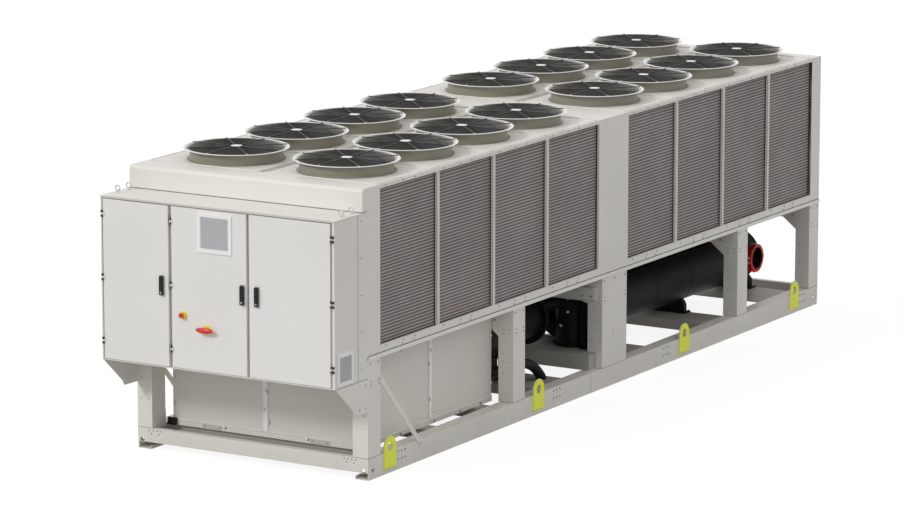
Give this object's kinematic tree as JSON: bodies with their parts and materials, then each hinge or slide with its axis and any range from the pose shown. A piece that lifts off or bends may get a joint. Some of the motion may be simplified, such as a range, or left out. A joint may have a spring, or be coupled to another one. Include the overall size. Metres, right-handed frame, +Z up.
{
  "type": "air-cooled heat pump chiller",
  "caption": "Air-cooled heat pump chiller on a base frame, with fans on top, side coils, a control cabinet with doors and a shell-and-tube evaporator.",
  "frame": {"origin": "middle of the outer box at ground level", "axes": "+Y from the control cabinet towards the rear along the length, +X across, +Z up"},
  "size_m": [2.344, 9.007, 2.587],
  "materials": {
    "frame_paint": "warm light grey powder coat, satin",
    "door_paint": "pale warm grey powder coat, satin",
    "lug_paint": "yellow-green enamel",
    "coil_fins": "level fins with dark gaps",
    "black_parts": "black enamel",
    "insulation": "closed-cell rubber insulation, matt",
    "fan_black": "dark moulded blades",
    "guard_wire": "coated wire",
    "ring_paint": "warm grey, spun ring with a bright rim",
    "hinge_black": "black",
    "handle_black": "black moulding",
    "vent_white": "white frame with a grey filter",
    "signal_yellow": "yellow moulding",
    "signal_red": "red moulding",
    "bright_steel": "zinc plated",
    "coupling_red": "red enamel",
    "panel_paint": "light grey panels"
  },
  "bodies": {
    "unit": {"base_end_beams": "frame_paint", "base_rails": "frame_paint", "cabinet_brackets": "frame_paint", "cabinet_frame": "frame_paint", "cabinet_roof": "frame_paint", "cabinet_walls": "frame_paint", "coil_frames": "frame_paint", "compressor": "black_parts", "condenser_coils": "coil_fins", "cross_beams": "frame_paint", "door_hinges": "hinge_black", "enclosure_frame": "frame_paint", "enclosure_panels": "panel_paint", "end_walls": "frame_paint", "evaporator_heads": "insulation", "evaporator_saddles": "black_parts", "evaporator_shell": "insulation", "eyebolts": "bright_steel", "fan_deck": "frame_paint", "fan_guards": "guard_wire", "fan_rings": "ring_paint", "floor_beams": "frame_paint", "front_hood": "frame_paint", "gussets_and_braces": "frame_paint", "lifting_lugs": "lug_paint", "mid_deck": "frame_paint", "mid_rails": "frame_paint", "mounting_plate": "bright_steel", "pipe_couplings": "coupling_red", "posts": "frame_paint", "refrigerant_pipes": "insulation", "side_panels": "frame_paint", "side_vent": "vent_white", "water_nozzles": "black_parts"},
    "fan_01": {"fan_01": "fan_black"},
    "fan_02": {"fan_02": "fan_black"},
    "fan_03": {"fan_03": "fan_black"},
    "fan_04": {"fan_04": "fan_black"},
    "fan_05": {"fan_05": "fan_black"},
    "fan_06": {"fan_06": "fan_black"},
    "fan_07": {"fan_07": "fan_black"},
    "fan_08": {"fan_08": "fan_black"},
    "fan_09": {"fan_09": "fan_black"},
    "fan_10": {"fan_10": "fan_black"},
    "fan_11": {"fan_11": "fan_black"},
    "fan_12": {"fan_12": "fan_black"},
    "fan_13": {"fan_13": "fan_black"},
    "fan_14": {"fan_14": "fan_black"},
    "fan_15": {"fan_15": "fan_black"},
    "fan_16": {"fan_16": "fan_black"},
    "door_left": {"door_left": "door_paint"},
    "door_middle": {"door_middle": "door_paint", "door_vent": "vent_white", "switch_bases": "signal_yellow"},
    "door_right": {"door_right": "door_paint"},
    "handle_left": {"handle_left": "handle_black"},
    "handle_middle": {"handle_middle": "handle_black"},
    "handle_right": {"handle_right": "handle_black"},
    "estop_button": {"estop_button": "signal_red"},
    "isolator_handle": {"isolator_handle": "signal_red"}
  },
  "joints": [
    {"name": "fan_01_spin", "type": "hinge", "parent": "unit", "child": "fan_01", "pos_m": [-0.554, -3.2765, 2.52], "axis": [0, 0, 1], "continuous": true},
    {"name": "fan_02_spin", "type": "hinge", "parent": "unit", "child": "fan_02", "pos_m": [-0.554, -2.3265, 2.52], "axis": [0, 0, 1], "continuous": true},
    {"name": "fan_03_spin", "type": "hinge", "parent": "unit", "child": "fan_03", "pos_m": [-0.554, -1.3765, 2.52], "axis": [0, 0, 1], "continuous": true},
    {"name": "fan_04_spin", "type": "hinge", "parent": "unit", "child": "fan_04", "pos_m": [-0.554, -0.4265, 2.52], "axis": [0, 0, 1], "continuous": true},
    {"name": "fan_05_spin", "type": "hinge", "parent": "unit", "child": "fan_05", "pos_m": [0.554, -3.2765, 2.52], "axis": [0, 0, 1], "continuous": true},
    {"name": "fan_06_spin", "type": "hinge", "parent": "unit", "child": "fan_06", "pos_m": [0.554, -2.3265, 2.52], "axis": [0, 0, 1], "continuous": true},
    {"name": "fan_07_spin", "type": "hinge", "parent": "unit", "child": "fan_07", "pos_m": [0.554, -1.3765, 2.52], "axis": [0, 0, 1], "continuous": true},
    {"name": "fan_08_spin", "type": "hinge", "parent": "unit", "child": "fan_08", "pos_m": [0.554, -0.4265, 2.52], "axis": [0, 0, 1], "continuous": true},
    {"name": "fan_09_spin", "type": "hinge", "parent": "unit", "child": "fan_09", "pos_m": [-0.554, 1.0205, 2.52], "axis": [0, 0, 1], "continuous": true},
    {"name": "fan_10_spin", "type": "hinge", "parent": "unit", "child": "fan_10", "pos_m": [-0.554, 1.9705, 2.52], "axis": [0, 0, 1], "continuous": true},
    {"name": "fan_11_spin", "type": "hinge", "parent": "unit", "child": "fan_11", "pos_m": [-0.554, 2.9205, 2.52], "axis": [0, 0, 1], "continuous": true},
    {"name": "fan_12_spin", "type": "hinge", "parent": "unit", "child": "fan_12", "pos_m": [-0.554, 3.8705, 2.52], "axis": [0, 0, 1], "continuous": true},
    {"name": "fan_13_spin", "type": "hinge", "parent": "unit", "child": "fan_13", "pos_m": [0.554, 1.0205, 2.52], "axis": [0, 0, 1], "continuous": true},
    {"name": "fan_14_spin", "type": "hinge", "parent": "unit", "child": "fan_14", "pos_m": [0.554, 1.9705, 2.52], "axis": [0, 0, 1], "continuous": true},
    {"name": "fan_15_spin", "type": "hinge", "parent": "unit", "child": "fan_15", "pos_m": [0.554, 2.9205, 2.52], "axis": [0, 0, 1], "continuous": true},
    {"name": "fan_16_spin", "type": "hinge", "parent": "unit", "child": "fan_16", "pos_m": [0.554, 3.8705, 2.52], "axis": [0, 0, 1], "continuous": true},
    {"name": "door_left_hinge", "type": "hinge", "parent": "unit", "child": "door_left", "pos_m": [-1.143, -4.4415, 1.57], "axis": [0, 0, -1], "range_deg": [0, 120]},
    {"name": "door_middle_hinge", "type": "hinge", "parent": "unit", "child": "door_middle", "pos_m": [-0.453, -4.4415, 1.57], "axis": [0, 0, -1], "range_deg": [0, 110]},
    {"name": "door_right_hinge", "type": "hinge", "parent": "unit", "child": "door_right", "pos_m": [1.126, -4.4415, 1.57], "axis": [0, 0, 1], "range_deg": [0, 120]},
    {"name": "handle_left_turn", "type": "hinge", "parent": "door_left", "child": "handle_left", "pos_m": [-0.543, -4.4415, 1.51], "axis": [0, -1, 0], "range_deg": [0, 90]},
    {"name": "handle_middle_turn", "type": "hinge", "parent": "door_middle", "child": "handle_middle", "pos_m": [0.261, -4.4415, 1.51], "axis": [0, -1, 0], "range_deg": [0, 90]},
    {"name": "handle_right_turn", "type": "hinge", "parent": "door_right", "child": "handle_right", "pos_m": [0.404, -4.4415, 1.51], "axis": [0, 1, 0], "range_deg": [0, 90]},
    {"name": "estop_push", "type": "slide", "parent": "door_middle", "child": "estop_button", "axis": [0, 1, 0], "range_m": [0, 0.005]},
    {"name": "isolator_turn", "type": "hinge", "parent": "door_middle", "child": "isolator_handle", "pos_m": [-0.096, -4.4415, 1.243], "axis": [0, 1, 0], "range_deg": [0, 90]}
  ]
}
